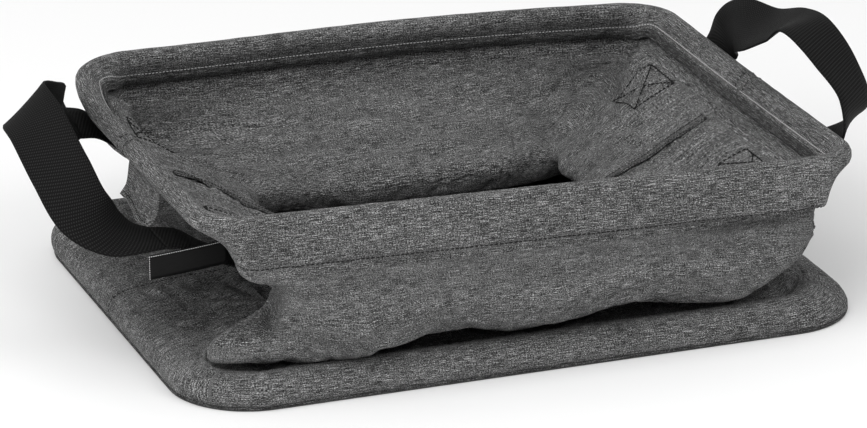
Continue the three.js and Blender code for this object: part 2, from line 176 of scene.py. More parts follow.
def capped_faces(rows, columns):
    """Faces of a closed bar: rings of points joined in a row, with a face at each end."""
    last = (rows - 1) * columns
    ends = [tuple(reversed(range(columns))), tuple(last + i for i in range(columns))]
    return grid_faces(rows, columns, ring=True) + ends


def grid_weave(grid):
    """Mean distances along and up a grid of points: threads run with its rows and columns."""
    along = np.linalg.norm(np.diff(grid, axis=1), axis=-1).mean(axis=0)
    up = np.linalg.norm(np.diff(grid, axis=0), axis=-1).mean(axis=1)
    u = np.concatenate([[0], np.cumsum(along)])
    v = np.concatenate([[0], np.cumsum(up)])
    u, v = np.meshgrid(u, v)
    return np.stack([u, v, np.zeros_like(v)], axis=-1)


def grid_normals(grid):
    d_up = np.gradient(grid, axis=0)
    d_along = np.gradient(grid, axis=1)
    return unit(np.cross(d_along, d_up))


def sheet_object(name, grid, thickness, offset=-1.0, weave=None):
    obj = make_mesh(name, grid.reshape(-1, 3), grid_faces(*grid.shape[:2]))
    weave = grid_weave(grid) if weave is None else weave
    add_weave(obj, weave.reshape(-1, 3))
    solid = obj.modifiers.new("Thickness", "SOLIDIFY")
    solid.thickness = thickness * MM
    solid.offset = offset
    solid.use_even_offset = False
    return obj


def with_material(obj, material, body=None, replaces=()):
    obj.data.materials.clear()
    obj.data.materials.append(material)
    if replaces:
        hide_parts(*replaces)
    if body:
        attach(obj, body)
    else:
        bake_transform(obj)
    return obj


# ---------------------------------------------------------------- materials

class Nodes:
    """Small helper that adds and links shader nodes of one material."""

    def __init__(self, name):
        self.material = bpy.data.materials.new(name)
        self.material.use_nodes = True
        self.tree = self.material.node_tree
        self.shader = self.tree.nodes["Principled BSDF"]

    def add(self, kind, **values):
        node = self.tree.nodes.new("ShaderNode" + kind)
        for key, value in values.items():
            if key in node.inputs:
                node.inputs[key].default_value = value
            else:
                setattr(node, key, value)
        return node

    def link(self, source, target):
        self.tree.links.new(source, target)

    def math(self, operation, a, b=0.0):
        node = self.add("Math", operation=operation)
        for socket, value in zip(node.inputs, (a, b)):
            if isinstance(value, (int, float)):
                socket.default_value = value
            else:
                self.link(value, socket)
        return node.outputs[0]

    def coordinates(self, is_woven=True):
        """Cloth coordinates in millimetres: the stored weave, or the object's own place."""
        if is_woven:
            return self.add("Attribute", attribute_name="weave").outputs["Vector"]
        place = self.add("TexCoord").outputs["Object"]
        scale = self.add("VectorMath", operation="SCALE", Scale=1000.0)
        self.link(place, scale.inputs[0])
        return scale.outputs[0]

    def stretched(self, vector, x, y, z=1.0):
        node = self.add("VectorMath", operation="DIVIDE")
        node.inputs[1].default_value = (x, y, z)
        self.link(vector, node.inputs[0])
        return node.outputs[0]

    def noise(self, vector, detail=2.0, roughness=0.6):
        node = self.add("TexNoise", Scale=1.0, Detail=detail, Roughness=roughness)
        self.link(vector, node.inputs["Vector"])
        return node.outputs["Fac"]

    def ramp(self, factor, stops):
        node = self.add("ValToRGB")
        elements = node.color_ramp.elements
        while len(elements) < len(stops):
            elements.new(0.5)
        for element, (position, level) in zip(elements, stops):
            element.position = position
            element.color = (*level, 1) if isinstance(level, tuple) else (level, level, level, 1)
        self.link(factor, node.inputs[0])
        return node.outputs["Color"]

    def bump(self, height, strength, distance):
        node = self.add("Bump", Strength=strength, Distance=distance * MM)
        self.link(height, node.inputs["Height"])
        self.link(node.outputs["Normal"], self.shader.inputs["Normal"])

    def finish(self, color, roughness, sheen=0.0, gloss=0.5):
        inputs = self.shader.inputs
        if isinstance(color, tuple):
            inputs["Base Color"].default_value = (*color, 1)
        else:
            self.link(color, inputs["Base Color"])
        inputs["Roughness"].default_value = roughness
        inputs["Specular IOR Level"].default_value = gloss
        inputs["Sheen Weight"].default_value = sheen
        inputs["Sheen Roughness"].default_value = 0.5
        return self.material


# Pitch of the canvas threads along and up the cloth
THREAD_PITCH_U = 0.9
THREAD_PITCH_V = 0.7


def canvas_material(name, level):
    """Plain-woven melange canvas: light and dark slubs along the cloth, over a fine thread grid."""
    n = Nodes(name)
    place = n.coordinates()
    slubs = n.noise(n.stretched(place, 10.0, 0.6, 1.0), detail=2.0, roughness=0.75)
    grain = n.noise(n.stretched(place, 1.0, 0.6, 1.0), detail=1.0, roughness=0.8)
    warp = n.noise(n.stretched(place, 0.9, 8.0, 1.0), detail=1.0)
    mottle = n.noise(n.stretched(place, 60.0, 18.0, 40.0), detail=3.0)
    mixed = n.math("ADD", n.math("MULTIPLY", slubs, 0.40), n.math("MULTIPLY", grain, 0.44))
    mixed = n.math("ADD", mixed, n.math("MULTIPLY", warp, 0.09))
    mixed = n.math("ADD", mixed, n.math("MULTIPLY", mottle, 0.07))
    stops = [(0.40, level * 0.03), (0.465, level * 0.32), (0.52, level * 1.0), (0.585, level * 2.9),
             (0.66, level * 6.5)]
    color = n.ramp(mixed, stops)
    separate = n.add("SeparateXYZ")
    n.link(place, separate.inputs[0])
    thread_u = n.math("SINE", n.math("MULTIPLY", separate.outputs[0], 2 * math.pi / THREAD_PITCH_U))
    thread_v = n.math("SINE", n.math("MULTIPLY", separate.outputs[1], 2 * math.pi / THREAD_PITCH_V))
    threads = n.math("MULTIPLY", n.math("MULTIPLY", thread_u, thread_v), 0.25)
    n.bump(n.math("ADD", threads, mixed), 0.6, 0.6)
    return n.finish(color, 0.95, 0.04, 0.08)


WEBBING_RIB_PITCH = 2.3


def webbing_material(name, level):
    """Woven webbing: short raised floats in slanting rows across the band."""
    n = Nodes(name)
    place = n.coordinates()
    separate = n.add("SeparateXYZ")
    n.link(place, separate.inputs[0])
    along, across = separate.outputs[0], separate.outputs[1]
    turn = n.math("MULTIPLY", along, 2 * math.pi / WEBBING_RIB_PITCH)
    slant = n.math("ADD", turn, n.math("MULTIPLY", across, 1.15))
    counter = n.math("SUBTRACT", turn, n.math("MULTIPLY", across, 3.1))
    ribs = n.math("MULTIPLY", n.math("ADD", n.math("SINE", slant), 1.0), 0.5)
    cells = n.math("MULTIPLY", n.math("ADD", n.math("SINE", counter), 1.0), 0.5)
    weave = n.math("MULTIPLY", ribs, cells)
    grain = n.noise(n.stretched(place, 0.8, 0.5), detail=1.0)
    height = n.math("ADD", weave, n.math("MULTIPLY", grain, 0.35))
    color = n.ramp(height, [(0.1, level * 0.4), (0.5, level * 1.2), (0.95, level * 7.0)])
    n.bump(height, 0.7, 0.4)
    return n.finish(color, 0.7, 0.0, 0.12)


def thread_material(name, level):
    n = Nodes(name)
    twist = n.noise(n.stretched(n.coordinates(False), 0.3, 0.3, 0.3), detail=1.0)
    color = n.ramp(twist, [(0.35, level * 0.6), (0.65, level * 1.4)])
    n.bump(twist, 0.4, 0.2)
    return n.finish(color, 0.7, 0.0, 0.15)


def satin_material(name):
    """Woven label: fine satin threads that run along it."""
    n = Nodes(name)
    place = n.coordinates()
    threads = n.noise(n.stretched(place, 6.0, 0.35), detail=1.0)
    color = n.ramp(threads, [(0.3, 0.0025), (0.7, 0.006)])
    n.bump(threads, 0.3, 0.15)
    return n.finish(color, 0.5, 0.0, 0.16)


def steel_material():
    n = Nodes("steel_wire")
    drawn = n.noise(n.stretched(n.coordinates(False), 4.0, 4.0, 0.4), detail=2.0)
    color = n.ramp(drawn, [(0.3, 0.42), (0.7, 0.62)])
    n.bump(drawn, 0.15, 0.1)
    n.shader.inputs["Metallic"].default_value = 1.0
    return n.finish(color, 0.34)


def board_material():
    n = Nodes("hardboard")
    fibres = n.noise(n.stretched(n.coordinates(False), 3.0, 1.2, 1.0), detail=4.0)
    color = n.ramp(fibres, [(0.3, (0.13, 0.075, 0.04)), (0.7, (0.27, 0.17, 0.095))])
    n.bump(fibres, 0.3, 0.3)
    return n.finish(color, 0.8)


CANVAS = canvas_material("melange_canvas", 0.112)
LINING = canvas_material("grey_lining", 0.08)
# Binding tape and piping: a darker canvas, darkened further as painted shade, so that the tape
# stands for the shadow in the groove under the hem's inner edge
BINDING_AND_PAINTED_SHADE = canvas_material("binding_and_painted_shade", 0.055)
WEBBING = webbing_material("black_webbing", 0.0030)
THREAD_DARK = thread_material("dark_thread", 0.012)
THREAD_LIGHT = thread_material("light_thread", 0.45)
SATIN = satin_material("label_satin")
STEEL = steel_material()
BOARD = board_material()


# ---------------------------------------------------------------- cloth walls

# One line up the wall at each station: a place on the base's outline, then the points panel,
# tuck, lip, belly, fold and shoulder, and last a place on the rim's outline.
FACE = -BASE_DEPTH / 2


def end_station(end, y, sag):
    half = BASE_LENGTH / 2
    return [
        (end * half, y, 0), (end * (half - 35), y * 0.98, 26), (end * (half - 65), y * 0.97, 28),
        (end * (half - 90), y * 0.95, 30), (end * (half - 112), y * 0.92, 34),
        (end * (half - 127), y * 0.9, 46), (end * (half - 88), y * 0.94, 77 - sag),
        (end * (half - 6), y, 0),
    ]


def long_station(x, lip, bulge, hem_x):
    return [
        (x, FACE, 0), (x, FACE + 40, 14), (x, FACE + 72, 14), (x, FACE + 14, lip),
        (x, FACE - bulge + 5, lip + 13), (x, FACE - bulge, lip + 30),
        ((x + hem_x) / 2, FACE - bulge + 5, 78), (hem_x, FACE, 0),
    ]


def folded_station(x, hem_x):
    return [
        (x, FACE, 0), (x, FACE + 34, 26), (x, FACE + 64, 28), (x, FACE + 90, 31),
        (x, FACE + 106, 36), (x, FACE + 112, 48), ((x + hem_x) / 2, FACE + 47, 79),
        (hem_x, FACE, 0),
    ]


def folded_corner_station(end):
    return [
        (end * 226, -167, 0), (end * 200, -140, 27), (end * 172, -116, 29), (end * 146, -96, 32),
        (end * 124, -82, 37), (end * 111, -75, 48), (end * 184, -136, 72), (end * 232, -165, 0),
    ]


def folded_side_station(end):
    return [
        (end * 186, -182, 0), (end * 176, -150, 26), (end * 154, -122, 28), (end * 130, -98, 31),
        (end * 112, -82, 36), (end * 100, -75, 48), (end * 189, -167, 71), (end * 200, -182, 0),
    ]


FRONT_STATIONS = [
    end_station(-1, 0, 0),
    end_station(-1, -95, 0),
    [
      (-225, -167, 0), (-219, -157, 25), (-217, -152, 27), (-220, -159, 35), (-218, -155, 40),
      (-165, -108, 49), (-172, -132, 74), (-232, -165, 0),
    ],
    [
      (-204, -179, 0), (-198, -152, 19), (-194, -138, 21), (-198, -168, 33), (-200, -166, 42),
      (-168, -122, 50), (-176, -158, 75), (-207, -182, 0),
    ],
    [
      (-186, -182, 0), (-182, -150, 15), (-176, -126, 16), (-184, -170, 32), (-186, -168, 43),
      (-171, -134, 47), (-176, -166, 75), (-196, -182, 0),
    ],
    [
      (-168, -182, 0), (-165, -142, 14), (-162, -115, 14), (-164, -172, 31), (-168, -178, 46),
      (-171, -180, 60), (-174, -179, 76), (-182, -182, 0),
    ],
    long_station(-128, 24, 7, -140),
    long_station(-70, 33, 8, -75),
    long_station(0, 30, 8, 0),
    long_station(85, 36, 7, 85),
    [
      (150, -182, 0), (150, -142, 14), (150, -110, 14), (150, -168, 30), (150, -181, 43),
      (150, -186, 58), (154, -174, 76), (158, -182, 0),
    ],
    [
      (190, -182, 0), (184, -148, 17), (178, -128, 20), (172, -160, 37), (182, -172, 48),
      (190, -176, 60), (198, -175, 71), (202, -182, 0),
    ],
    [
      (226, -167, 0), (200, -142, 26), (184, -128, 29), (164, -116, 34), (152, -108, 39),
      (146, -104, 52), (180, -134, 72), (232, -165, 0),
    ],
    end_station(1, -95, 7),
    end_station(1, 0, 7),
]

BACK_STATIONS = [
    end_station(-1, 0, 0),
    end_station(-1, -70, 0),
    folded_corner_station(-1),
    folded_side_station(-1),
    folded_station(-65, -70),
    folded_station(0, 0),
    folded_station(65, 70),
    folded_side_station(1),
    folded_corner_station(1),
    end_station(1, -70, 7),
    end_station(1, 0, 7),
]

# Rounded side of the base as inset and height, then the hem's section as inset and drop
BASE_PROFILE = [(3.0, 1.2), (0.2, 3.5), (-1.8, 8.5), (-1.2, 14.5), (2.6, 19.6), (9.0, 22.4)]
NECK_PROFILE = [
    (1.2, -41.0), (0.4, -HEM_DROP - 1.0), (0.0, -HEM_DROP + 1.0), (-0.9, -30.0), (-0.9, -18.0),
]
FLAP_PROFILE = [(7.6, -21.0), (6.9, -23.0)]
BINDING_PROFILE = [(8.6, -20.6), (7.6, -23.0), (6.2, -24.6), (4.9, -26.0)]

# Rows of the wall's grid between its levels: base profile, free cloth, neck, hem, flap
LEVEL_STEPS = [1, 2, 2, 2, 3, 9, 9, 16, 9, 12, 16, 14, 3, 1, 3, 4, 4] + [1] * 8 + [6, 1]
TAPE_LEVEL, OUTER_SEAM_LEVEL = 5, 2
NECK_LEVEL = len(BASE_PROFILE) + 6
FOLD_LEVEL = len(BASE_PROFILE) + 4

# The front hem's lower edge stands off the wall by this much, towards the right
HEM_OVERHANG = 8.5
COLUMNS = 300
COLUMN_STEPS = 24


def hem_arc():
    turns = np.radians(np.linspace(180, -18, 9))
    return [
        (HEM_RADIUS + HEM_RADIUS * math.cos(a), -HEM_RADIUS + HEM_RADIUS * math.sin(a))
        for a in turns
    ]


def wall_grid(stations, side):
    """Rows and columns of points over one half of the bag, from the base's foot over the hem."""
    stations = np.array(stations, float)
    stations[:, :, 1] *= -side
    dense = through(stations, [COLUMN_STEPS] * (len(stations) - 1))
    foot, hem = dense[:, 0, :2], dense[:, -1, :2]
    steps = sum(np.linalg.norm(np.diff(line, axis=0), axis=1) for line in (foot, hem))
    travelled = np.concatenate([[0], np.cumsum(steps)])
    even = np.linspace(0, travelled[-1], COLUMNS)
    columns = np.array([[np.interp(even, travelled, dense[:, i, k]) for k in range(3)]
                        for i in range(dense.shape[1])]).transpose(2, 0, 1)
    foot, free, hem = columns[:, 0, :2], columns[:, 1:-1], columns[:, -1, :2]
    base = [base_point(foot, *p) for p in BASE_PROFILE]
    profile = NECK_PROFILE + hem_arc() + FLAP_PROFILE
    rim = [rim_point(hem, *p) for p in profile]
    if side < 0:
        overhang = HEM_OVERHANG * smoothstep((hem[:, 0] - 70) / 90)
        for line, share in zip(rim[:2], (1.0, 0.9)):
            line[:, 1] += overhang * share
            line[:, 0] -= overhang * share * smoothstep((hem[:, 0] - 190) / 40)
    return through(np.array(base + [free[:, i] for i in range(free.shape[1])] + rim), LEVEL_STEPS)


def row_of(level):
    return sum(LEVEL_STEPS[:level])


# Heights of the soft folds, the puckers and the small crisp dents of the cloth
FOLD_HEIGHT, PUCKER_HEIGHT, DENT_HEIGHT = 3.2, 1.3, 0.22


def rough_cloth(grid, normals, seed):
    """Moves the free cloth along its normals: long soft folds, puckers and small dents."""
    weave = grid_weave(grid)
    rows = np.arange(grid.shape[0])
    first, last = row_of(len(BASE_PROFILE) - 1), row_of(NECK_LEVEL + 1)
    free = smoothstep((rows - first) / 14) * smoothstep((last - rows) / 12)
    moves = np.zeros(grid.shape[:2])
    for i, row in enumerate(weave):
        for j, (u, v, _) in enumerate(row):
            broad = noise.noise(Vector((u / 95, v / 42, seed)))
            fine = noise.noise(Vector((u / 34, v / 15, seed + 7)))
            crisp = noise.noise(Vector((u / 12, v / 9, seed + 19)))
            soft = FOLD_HEIGHT * broad + PUCKER_HEIGHT * fine
            moves[i, j] = free[i] * soft + DENT_HEIGHT * crisp
    return grid + normals * moves[..., None]


def stitch_groove(grid, normals, row, depth):
    rows = np.arange(grid.shape[0])
    dip = depth * np.exp(-((rows - row) / 0.8) ** 2)
    return grid - normals * dip[:, None, None]


def end_groove(grid, normals, first_row, depth):
    """Dips the hem beside the seams across it, at the middle of both ends."""
    columns = np.arange(grid.shape[1])
    near = np.exp(-(columns / 1.1) ** 2) + np.exp(-((columns[-1] - columns) / 1.1) ** 2)
    on_hem = np.arange(grid.shape[0]) > first_row
    return grid - normals * (depth * on_hem[:, None] * near[None, :])[..., None]


SETTLE_FRAMES = 14
SETTLE_SEAM_ROWS = 5
SETTLE_FREEDOM = 0.86
SETTLE_GROWTH = 0.035


def settle(name, grid):
    """Lets the cloth settle: it is held along the base and the hem, keeps roughly to its folds in
    between, and grows a little, so that the spare cloth buckles into soft wrinkles."""
    rows, columns = grid.shape[:2]
    obj = make_mesh(f"{name}_settling", grid.reshape(-1, 3), grid_faces(rows, columns))
    first, last = row_of(len(BASE_PROFILE) - 1) + 2, row_of(NECK_LEVEL) - 2
    index = np.arange(rows)
    inner = (index - first) / SETTLE_SEAM_ROWS, (last - index) / SETTLE_SEAM_ROWS
    edge = np.minimum(np.arange(columns), np.arange(columns)[::-1]) / SETTLE_SEAM_ROWS
    free = smoothstep(np.minimum(*inner))[:, None] * smoothstep(edge)[None, :]
    hold = 1 - SETTLE_FREEDOM * free
    group = obj.vertex_groups.new(name="held")
    for level in np.unique(np.round(hold, 2)):
        members = np.flatnonzero(np.round(hold, 2).ravel() == level)
        group.add([int(i) for i in members], float(level), "REPLACE")
    cloth = obj.modifiers.new("Cloth", "CLOTH")
    cloth.settings.quality = 5
    cloth.settings.mass = 0.02
    cloth.settings.air_damping = 4
    cloth.settings.tension_stiffness = 40
    cloth.settings.compression_stiffness = 40
    cloth.settings.shear_stiffness = 12
    cloth.settings.bending_stiffness = 0.6
    cloth.settings.vertex_group_mass = "held"
    cloth.settings.pin_stiffness = 0.8
    cloth.settings.shrink_min = -SETTLE_GROWTH
    cloth.settings.shrink_max = -SETTLE_GROWTH
    cloth.collision_settings.use_collision = False
    cloth.point_cache.frame_start = 1
    cloth.point_cache.frame_end = SETTLE_FRAMES
    for step in range(1, SETTLE_FRAMES + 1):
        scene.frame_set(step)
    settled = obj.evaluated_get(bpy.context.evaluated_depsgraph_get())
    flat = np.empty(rows * columns * 3, np.float32)
    settled.data.vertices.foreach_get("co", flat)
    scene.frame_set(1)
    bpy.data.objects.remove(obj)
    return flat.reshape(rows, columns, 3).astype(float) / MM


# Rows of the stitches along the hem, outside and inside
HEM_ROW = row_of(NECK_LEVEL + 1) + 1
INNER_ROW = row_of(len(LEVEL_STEPS)) - 3


class Wall:
    """One half of the wall cloth as a grid of points with outward normals."""

    def __init__(self, name, stations, side):
        self.name = name
        self.side = side
        grid = wall_grid(stations, side)
        grid = rough_cloth(grid, grid_normals(grid) * -side, seed=3.7 + side)
        grid = settle(name, grid)
        normals = grid_normals(grid) * -side
        grid = stitch_groove(grid, normals, HEM_ROW, 1.3)
        self.grid = end_groove(grid, normals, HEM_ROW, 1.0)
        self.normals = grid_normals(self.grid) * -side
        self.weave = grid_weave(self.grid)

    def threads(self):
        """Cloth coordinates: on the end walls the long threads run up the wall."""
        weave = self.weave.copy()
        at_end = np.abs(self.grid[0, :, 1]) < BASE_DEPTH / 2 - BASE_CORNER * 0.35
        below_hem = row_of(NECK_LEVEL + 1)
        weave[:below_hem, at_end] = weave[:below_hem, at_end][..., [1, 0, 2]]
        return weave

    def build(self):
        offset = 1.0 if self.side > 0 else -1.0
        obj = sheet_object(f"{self.name}_cloth", self.grid, CLOTH, offset, self.threads())
        stands_for = [f"{self.name}_wall_lower", f"{self.name}_wall_upper", f"rim_hem_{self.name}"]
        with_material(obj, CANVAS, None, stands_for)

    def at(self, row, column):
        """Point and outward normal at a fractional row and column."""
        i, j = int(min(row, self.grid.shape[0] - 2)), int(min(column, self.grid.shape[1] - 2))
        s, t = row - i, column - j
        corners = [(i, j, (1 - s) * (1 - t)), (i + 1, j, s * (1 - t)), (i, j + 1, (1 - s) * t),
                   (i + 1, j + 1, s * t)]
        point = sum(self.grid[a, b] * w for a, b, w in corners)
        normal = sum(self.normals[a, b] * w for a, b, w in corners)
        return point, normal / np.linalg.norm(normal)

    def find(self, x, y, first, last):
        """Row and column of the place nearest to x, y in plan between two rows."""
        part = self.grid[first:last, :, :2]
        nearest = np.argmin(((part - np.array([x, y])) ** 2).sum(axis=-1))
        i, j = np.unravel_index(nearest, part.shape[:2])
        i = min(max(i + first, 1), self.grid.shape[0] - 2)
        j = min(max(j, 1), self.grid.shape[1] - 2)
        up = (self.grid[i + 1, j, :2] - self.grid[i - 1, j, :2]) / 2
        along = (self.grid[i, j + 1, :2] - self.grid[i, j - 1, :2]) / 2
        off = np.linalg.solve(np.column_stack([up, along]), np.array([x, y]) - self.grid[i, j, :2])
        return i + float(np.clip(off[0], -1, 1)), j + float(np.clip(off[1], -1, 1))


# ---------------------------------------------------------------- stitches and strips

def dash(centre, along, normal, length, radius):
    """Points of one stitch: a short thread that dips into the cloth at both ends."""
    side = np.cross(along, normal)
    rings = []
    for t, size in ((-0.5, 0.45), (-0.28, 0.95), (0.0, 1.0), (0.28, 0.95), (0.5, 0.45)):
        lift = normal * (radius * (0.35 - 2.6 * t * t))
        for turn in np.linspace(0, 2 * math.pi, 6, endpoint=False):
            rings.append(centre + along * (t * length) + lift
                         + (side * math.cos(turn) + normal * 0.7 * math.sin(turn)) * radius * size)
    return rings


def stitch_row(points, normals, pitch=3.4, length=2.5, radius=0.42):
    """Vertices and faces of stitches laid along a line on the cloth."""
    points, normals = np.array(points), np.array(normals)
    travelled = travel(points)
    count = max(int(travelled[-1] / pitch), 1)
    vertices, faces = [], []
    for k in range(count):
        middle = (k + 0.5) * travelled[-1] / count
        near = [middle - 0.4, middle, middle + 0.4]
        place = [np.interp(near, travelled, points[:, a]) for a in range(3)]
        normal = unit(np.array([np.interp(middle, travelled, normals[:, a]) for a in range(3)]))
        place = np.array(place).T
        along = unit(place[2] - place[0])
        faces += [tuple(i + len(vertices) for i in face) for face in capped_faces(5, 6)]
        vertices += dash(place[1], along, normal, length, radius)
    return vertices, faces


def stitches(name, rows, material, body=None, **sizes):
    """One piece made of the stitches of several lines, each given as points and normals."""
    vertices, faces = [], []
    for points, normals in rows:
        more, more_faces = stitch_row(points, normals, **sizes)
        faces += [tuple(i + len(vertices) for i in face) for face in more_faces]
        vertices += more
    obj = make_mesh(name, vertices, faces)
    return with_material(obj, material, body)


def row_line(wall, row):
    """A line along the cloth at one row, on its outside."""
    places = [wall.at(row, column) for column in range(1, wall.grid.shape[1] - 1)]
    return [p for p, _ in places], [n for _, n in places]


def column_line(wall, column, first, last, count):
    """A line up the cloth at one column, on its outside."""
    places = [wall.at(row, column) for row in np.linspace(first, last, count)]
    return [p for p, _ in places], [n for _, n in places]


def softened(points):
    """A line of points with its small wobbles taken out and its ends kept."""
    points = np.array(points)
    for _ in range(6):
        points[1:-1] = (points[:-2] + 2 * points[1:-1] + points[2:]) / 4
    return points


def inside_line(wall, start, end, rows):
    """A line on the inside of the cloth between two places given in plan."""
    points, normals = [], []
    for t in np.linspace(0, 1, 16):
        x, y = start[0] + (end[0] - start[0]) * t, start[1] + (end[1] - start[1]) * t
        point, normal = wall.at(*wall.find(x, y, *rows))
        points.append(point - normal * (CLOTH + 0.5))
        normals.append(-normal)
    return softened(points), softened(normals)


# Section of a flat band with rounded edges, as share of its width and of its thickness
BAND_SECTION = [
    (0.0, 0.0), (0.06, 0.5), (0.5, 0.5), (0.94, 0.5), (1.0, 0.0), (0.94, -0.5), (0.5, -0.5),
    (0.06, -0.5),
]


def band_object(name, left, right, normal, thickness):
    """A closed band of webbing or tape between two lines of points."""
    left, right, normal = np.array(left), np.array(right), np.array(normal)
    rings = [left * (1 - t) + right * t + normal * (h * thickness) for t, h in BAND_SECTION]
    grid = np.stack(rings, axis=1)
    obj = make_mesh(name, grid.reshape(-1, 3), capped_faces(*grid.shape[:2]))
    along = travel((left + right) / 2)
    width = np.linalg.norm(right - left, axis=1).mean()
    shares = np.array([t for t, _ in BAND_SECTION]) * width
    weave = np.array([[(u, v, 0.0) for v in shares] for u in along])
    add_weave(obj, weave.reshape(-1, 3))
    return obj


# ---------------------------------------------------------------- bag

SEAM_JOIN_COLUMNS = 14


def join_ends(one, other):
    """Brings the two cloths to one line at both ends, easing the change into each of them."""
    for end in (0, -1):
        meeting = (one.grid[:, end] + other.grid[:, end]) / 2
        for wall in (one, other):
            gap = meeting - wall.grid[:, end]
            for k in range(SEAM_JOIN_COLUMNS):
                share = 1 - float(smoothstep(k / SEAM_JOIN_COLUMNS))
                wall.grid[:, end - k if end else k] += gap * share
    for wall in (one, other):
        wall.normals = grid_normals(wall.grid) * -wall.side


front = Wall("front", FRONT_STATIONS, -1)
back = Wall("back", BACK_STATIONS, 1)
join_ends(front, back)
for wall in (front, back):
    wall.build()

stitches("hem_stitches_outer", [row_line(w, HEM_ROW) for w in (front, back)], THREAD_DARK, "rim",
         pitch=3.4, length=2.7, radius=0.6)
stitches("hem_stitches_inner", [row_line(w, INNER_ROW) for w in (front, back)], THREAD_LIGHT, "rim",
         pitch=2.6, length=1.9, radius=0.44)


LAST_COLUMN = front.grid.shape[1] - 1
stitches("hem_cross_stitches", [column_line(w, c, HEM_ROW + 1, INNER_ROW, 60)
                                for w in (front, back) for c in (2.2, LAST_COLUMN - 2.2)],
         THREAD_DARK, "rim")


def hem_binding(wall):
    """Tape that closes the hem on the inside, from its inner edge down to the wall, and its
    two rows of stitches."""
    stations = np.array(FRONT_STATIONS if wall is front else BACK_STATIONS, float)
    stations[:, :, 1] *= -wall.side
    hem = through(stations[:, -1], [12] * (len(stations) - 1))[:, :2]
    lines = np.array([rim_point(hem, *p) for p in BINDING_PROFILE])
    grid = through(lines, [3, 3, 3])
    obj = sheet_object(f"hem_binding_{wall.name}_tape", grid, TAPE_THICKNESS, 0.0)
    # The tape's dark material is partly painted shade: it stands for the shadow in the groove below
    # the hem's inner edge
    with_material(obj, BINDING_AND_PAINTED_SHADE, "rim", [f"hem_binding_{wall.name}"])
    normals = grid_normals(grid) * -wall.side
    rows = [(grid[r], normals[r]) for r in (1, 7)]
    stitches(f"binding_stitches_{wall.name}", rows, THREAD_DARK, "rim", pitch=2.8, length=2.2,
             radius=0.5)


hem_binding(front)
hem_binding(back)


def outline_loop(inset, count=260):
    """Evenly spaced points round the base's outline, inset by a distance."""
    angles = np.linspace(0, 2 * math.pi, 4000, endpoint=False)
    around = np.column_stack([np.cos(angles) * BASE_LENGTH, np.sin(angles) * BASE_DEPTH]) * 0.5
    place, normal = outline_place(BASE_LENGTH, BASE_DEPTH, BASE_CORNER, around * 1.6)
    points = place - normal * inset
    closed = np.vstack([points, points[:1]])
    travelled = travel(closed)
    even = np.linspace(0, travelled[-1], count, endpoint=False)
    return np.column_stack([np.interp(even, travelled, closed[:, k]) for k in range(2)])


def floor_sheet(name, inset, height, crown, thickness, seed):
    """A cloth panel that covers the base's floor, slightly crowned, on rings of its outline that
    shrink to the middle.
    """
    rings = 46
    outer = outline_loop(inset)
    points, faces = [(0, 0, height + crown)], []
    for r in range(1, rings + 1):
        share = r / rings
        for x, y in outer:
            place = Vector((x * share / 70, y * share / 45, seed))
            wave = noise.noise(place) * min(crown, 0.5)
            edge = smoothstep((1 - share) / 0.05)
            points.append((x * share, y * share, height + float(edge) * (crown + wave)))
    count = len(outer)
    for k in range(count):
        faces.append((0, 1 + k, 1 + (k + 1) % count))
    for r in range(rings - 1):
        for k in range(count):
            a, b = 1 + r * count + k, 1 + r * count + (k + 1) % count
            faces.append((a, a + count, b + count, b))
    obj = make_mesh(name, points, faces)
    add_weave(obj, points)
    solid = obj.modifiers.new("Thickness", "SOLIDIFY")
    solid.thickness = thickness * MM
    solid.offset = 0
    return obj


lining = floor_sheet("floor_lining", 9, 7.2, 0.9, 1.0, 11.3)
with_material(lining, LINING, "base", ["base_floor_lining"])
cover = floor_sheet("bottom_cover", 3.2, 0.75, 0.0, 1.0, 23.1)
with_material(cover, CANVAS, "base", ["base_bottom_cover"])


def piping():
    loop = outline_loop(PIPING_RADIUS, 300)
    tangent = unit(np.roll(loop, -1, axis=0) - np.roll(loop, 1, axis=0))
    outward = np.column_stack([tangent[:, 1], -tangent[:, 0]])
    vertices, faces = [], []
    sides = 10
    r = PIPING_RADIUS
    for (x, y), (nx, ny) in zip(loop, outward):
        for k in range(sides):
            turn = 2 * math.pi * k / sides
            c, s = math.cos(turn), math.sin(turn)
            vertices.append((x + nx * r * c, y + ny * r * c, r + r * s))
    count = len(loop)
    for i in range(count):
        for k in range(sides):
            j, m = (i + 1) % count, (k + 1) % sides
            faces.append((i * sides + k, i * sides + m, j * sides + m, j * sides + k))
    obj = make_mesh("piping", vertices, faces)
    step = np.linalg.norm(loop[1] - loop[0])
    add_weave(obj, [(i * step, k, 0) for i in range(count) for k in range(sides)])
    with_material(obj, BINDING_AND_PAINTED_SHADE, "base", ["base_piping"])


piping()

# Wire, ferrules and board stay as the CAD has them, with their own materials
for node in ("rim_wire_front", "rim_wire_back", "wire_ferrule_left", "wire_ferrule_right"):
    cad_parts[node].data.materials.clear()
    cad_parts[node].data.materials.append(STEEL)
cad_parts["base_board"].data.materials.clear()
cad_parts["base_board"].data.materials.append(BOARD)


# A flap of the hem hangs over the left handle's front strap end: it starts under the tube and
# flares outwards to a rounded front corner
FLAP_WIDTH = 66.0
FLAP_HANG = [(8.0, -11.5, 0), (6.4, -20.0, 0), (4.2, -33.0, 0), (-3.0, -43.0, 0)]


